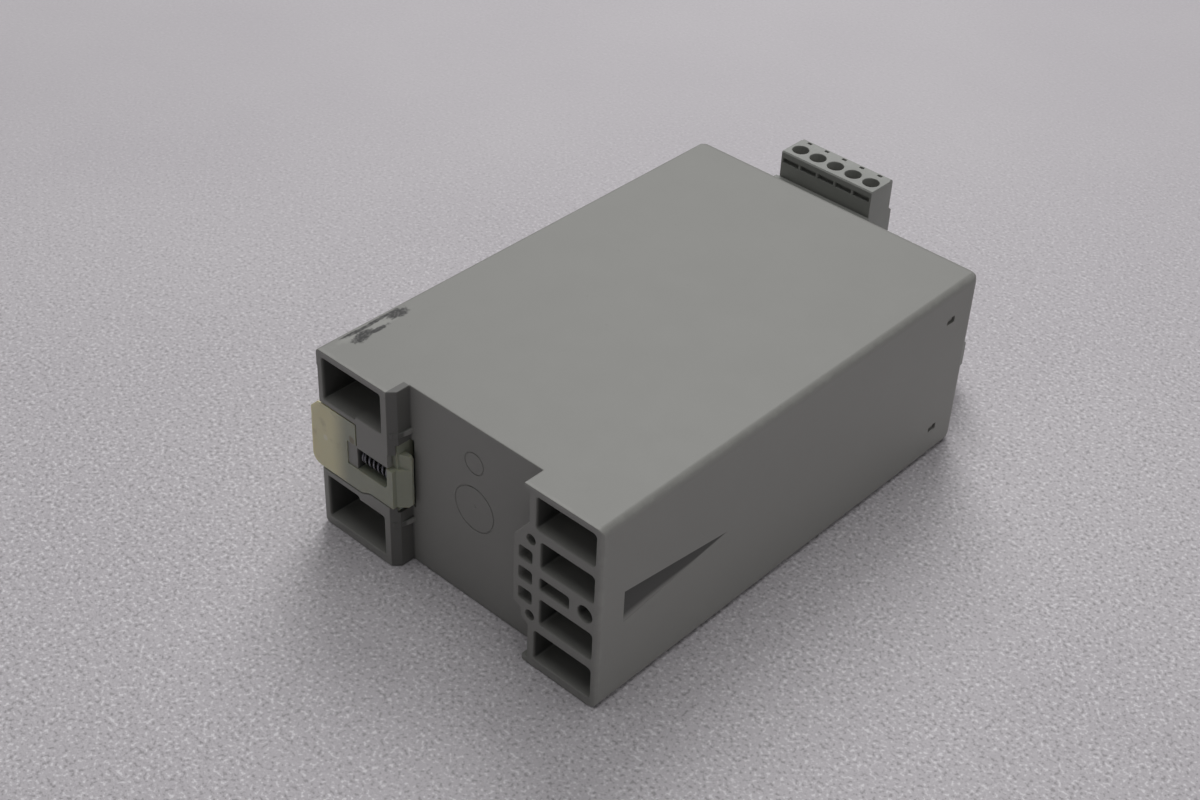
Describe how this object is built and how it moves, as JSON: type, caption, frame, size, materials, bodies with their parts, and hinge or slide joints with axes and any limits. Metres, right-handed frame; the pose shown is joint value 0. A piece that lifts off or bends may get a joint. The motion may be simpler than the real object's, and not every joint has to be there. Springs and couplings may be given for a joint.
{
  "type": "din rail power supply",
  "caption": "Slim rail-mounted power supply with a spring latch, pluggable screw terminals and its inner parts.",
  "frame": {"origin": "middle of the rail seat, where the rail's front face lies against the module", "axes": "+Y out of the rear towards the rail, +X towards the latch, +Z along the rail; the module is stored lying on its -Z side"},
  "size_m": [0.0806, 0.1381, 0.045],
  "materials": {
    "housing_plastic": "fine spark-eroded grey moulding",
    "panel_plastic": "matt grey moulding",
    "nylon": "unpainted ivory nylon, slightly waxy",
    "spring_steel": "dark drawn wire",
    "plug_plastic": "matt grey moulding",
    "header_plastic": "matt grey moulding",
    "screw_steel": "zinc plated",
    "cage_metal": "nickel plated",
    "circuit_board": "solder mask over glass laminate",
    "insulating_film": "thin translucent film",
    "black_plastic": "moulding compound",
    "light_pipe_plastic": "clear polycarbonate",
    "led_plastic": "tinted epoxy",
    "trimmer_plastic": "moulded blue",
    "trimmer_rotor": "moulded cream",
    "disc_coating": "dipped resin",
    "film_capacitor_case": "moulded yellow",
    "ferrite": "ground ferrite",
    "enamelled_copper": "enamelled wire",
    "capacitor_sleeve": "heat-shrunk sleeve",
    "heat_sink_aluminium": "extruded, bare",
    "bobbin_plastic": "glass-filled moulding",
    "winding_tape": "polyester tape"
  },
  "bodies": {
    "housing": {"housing_shell": "housing_plastic", "front_panel": "panel_plastic", "latch_spring": "spring_steel", "dc_header": "header_plastic", "ac_header": "header_plastic", "front_board": "circuit_board", "main_board": "circuit_board", "insulation_sheet": "insulating_film", "board_link": "black_plastic", "light_pipe": "light_pipe_plastic", "status_led": "led_plastic", "trim_pot_body": "trimmer_plastic", "fuse": "black_plastic", "thermistor": "disc_coating", "varistor": "disc_coating", "y_capacitor": "disc_coating", "x_capacitor": "film_capacitor_case", "choke_core": "ferrite", "choke_winding_a": "enamelled_copper", "choke_winding_b": "enamelled_copper", "bridge_rectifier": "black_plastic", "bulk_capacitor": "capacitor_sleeve", "output_capacitor_1": "capacitor_sleeve", "output_capacitor_2": "capacitor_sleeve", "output_choke": "ferrite", "controller_chip": "black_plastic", "optocoupler": "black_plastic", "primary_heat_sink": "heat_sink_aluminium", "secondary_heat_sink": "heat_sink_aluminium", "power_transistor": "black_plastic", "output_rectifier": "black_plastic", "transformer_core_front": "ferrite", "transformer_core_rear": "ferrite", "transformer_bobbin": "bobbin_plastic", "transformer_winding": "winding_tape"},
    "latch": {"latch_slider": "nylon"},
    "trimmer": {"trim_pot_rotor": "trimmer_rotor"},
    "dc_plug": {"dc_plug_body": "plug_plastic"},
    "dc_screw_1": {"dc_clamp_screw_1": "screw_steel"},
    "dc_cage_1": {"dc_wire_cage_1": "cage_metal"},
    "dc_screw_2": {"dc_clamp_screw_2": "screw_steel"},
    "dc_cage_2": {"dc_wire_cage_2": "cage_metal"},
    "dc_screw_3": {"dc_clamp_screw_3": "screw_steel"},
    "dc_cage_3": {"dc_wire_cage_3": "cage_metal"},
    "dc_screw_4": {"dc_clamp_screw_4": "screw_steel"},
    "dc_cage_4": {"dc_wire_cage_4": "cage_metal"},
    "dc_screw_5": {"dc_clamp_screw_5": "screw_steel"},
    "dc_cage_5": {"dc_wire_cage_5": "cage_metal"},
    "ac_plug": {"ac_plug_body": "plug_plastic"},
    "ac_screw_1": {"ac_clamp_screw_1": "screw_steel"},
    "ac_cage_1": {"ac_wire_cage_1": "cage_metal"},
    "ac_screw_2": {"ac_clamp_screw_2": "screw_steel"},
    "ac_cage_2": {"ac_wire_cage_2": "cage_metal"},
    "ac_screw_3": {"ac_clamp_screw_3": "screw_steel"},
    "ac_cage_3": {"ac_wire_cage_3": "cage_metal"}
  },
  "joints": [
    {"name": "latch_slide", "type": "slide", "parent": "housing", "child": "latch", "axis": [1, 0, 0], "range_m": [0, 0.003], "stiffness_N_per_m": 900, "springref_m": -0.002, "deforming": ["latch_spring"]},
    {"name": "dc_plug_pull", "type": "slide", "parent": "housing", "child": "dc_plug", "axis": [0, -1, 0], "range_m": [0, 0.012]},
    {"name": "dc_screw_1_turn", "type": "hinge", "parent": "dc_plug", "child": "dc_screw_1", "pos_m": [0.00114, -0.1271, 0.0202], "axis": [0, 0, -1], "range_deg": [0, 1441]},
    {"name": "dc_cage_1_lift", "type": "slide", "parent": "dc_plug", "child": "dc_cage_1", "axis": [0, 0, 1], "range_m": [0, 0.002]},
    {"name": "dc_screw_2_turn", "type": "hinge", "parent": "dc_plug", "child": "dc_screw_2", "pos_m": [0.00622, -0.1271, 0.0202], "axis": [0, 0, -1], "range_deg": [0, 1441]},
    {"name": "dc_cage_2_lift", "type": "slide", "parent": "dc_plug", "child": "dc_cage_2", "axis": [0, 0, 1], "range_m": [0, 0.002]},
    {"name": "dc_screw_3_turn", "type": "hinge", "parent": "dc_plug", "child": "dc_screw_3", "pos_m": [0.0113, -0.1271, 0.0202], "axis": [0, 0, -1], "range_deg": [0, 1441]},
    {"name": "dc_cage_3_lift", "type": "slide", "parent": "dc_plug", "child": "dc_cage_3", "axis": [0, 0, 1], "range_m": [0, 0.002]},
    {"name": "dc_screw_4_turn", "type": "hinge", "parent": "dc_plug", "child": "dc_screw_4", "pos_m": [0.01638, -0.1271, 0.0202], "axis": [0, 0, -1], "range_deg": [0, 1441]},
    {"name": "dc_cage_4_lift", "type": "slide", "parent": "dc_plug", "child": "dc_cage_4", "axis": [0, 0, 1], "range_m": [0, 0.002]},
    {"name": "dc_screw_5_turn", "type": "hinge", "parent": "dc_plug", "child": "dc_screw_5", "pos_m": [0.02146, -0.1271, 0.0202], "axis": [0, 0, -1], "range_deg": [0, 1441]},
    {"name": "dc_cage_5_lift", "type": "slide", "parent": "dc_plug", "child": "dc_cage_5", "axis": [0, 0, 1], "range_m": [0, 0.002]},
    {"name": "ac_plug_pull", "type": "slide", "parent": "housing", "child": "ac_plug", "axis": [0, -1, 0], "range_m": [0, 0.012]},
    {"name": "ac_screw_1_turn", "type": "hinge", "parent": "ac_plug", "child": "ac_screw_1", "pos_m": [-0.02312, -0.1271, -0.0047], "axis": [0, 0, -1], "range_deg": [0, 1441]},
    {"name": "ac_cage_1_lift", "type": "slide", "parent": "ac_plug", "child": "ac_cage_1", "axis": [0, 0, 1], "range_m": [0, 0.002]},
    {"name": "ac_screw_2_turn", "type": "hinge", "parent": "ac_plug", "child": "ac_screw_2", "pos_m": [-0.0155, -0.1271, -0.0047], "axis": [0, 0, -1], "range_deg": [0, 1441]},
    {"name": "ac_cage_2_lift", "type": "slide", "parent": "ac_plug", "child": "ac_cage_2", "axis": [0, 0, 1], "range_m": [0, 0.002]},
    {"name": "ac_screw_3_turn", "type": "hinge", "parent": "ac_plug", "child": "ac_screw_3", "pos_m": [-0.00788, -0.1271, -0.0047], "axis": [0, 0, -1], "range_deg": [0, 1441]},
    {"name": "ac_cage_3_lift", "type": "slide", "parent": "ac_plug", "child": "ac_cage_3", "axis": [0, 0, 1], "range_m": [0, 0.002]},
    {"name": "trim_turn", "type": "hinge", "parent": "housing", "child": "trimmer", "pos_m": [0.032, -0.1132, 0.002], "axis": [0, -1, 0], "range_deg": [-135, 135]}
  ],
  "couplings": [
    {"joint": "dc_screw_1_turn", "follows": "dc_cage_1_lift", "rad_per_m": 12566},
    {"joint": "dc_screw_2_turn", "follows": "dc_cage_2_lift", "rad_per_m": 12566},
    {"joint": "dc_screw_3_turn", "follows": "dc_cage_3_lift", "rad_per_m": 12566},
    {"joint": "dc_screw_4_turn", "follows": "dc_cage_4_lift", "rad_per_m": 12566},
    {"joint": "dc_screw_5_turn", "follows": "dc_cage_5_lift", "rad_per_m": 12566},
    {"joint": "ac_screw_1_turn", "follows": "ac_cage_1_lift", "rad_per_m": 12566},
    {"joint": "ac_screw_2_turn", "follows": "ac_cage_2_lift", "rad_per_m": 12566},
    {"joint": "ac_screw_3_turn", "follows": "ac_cage_3_lift", "rad_per_m": 12566}
  ]
}
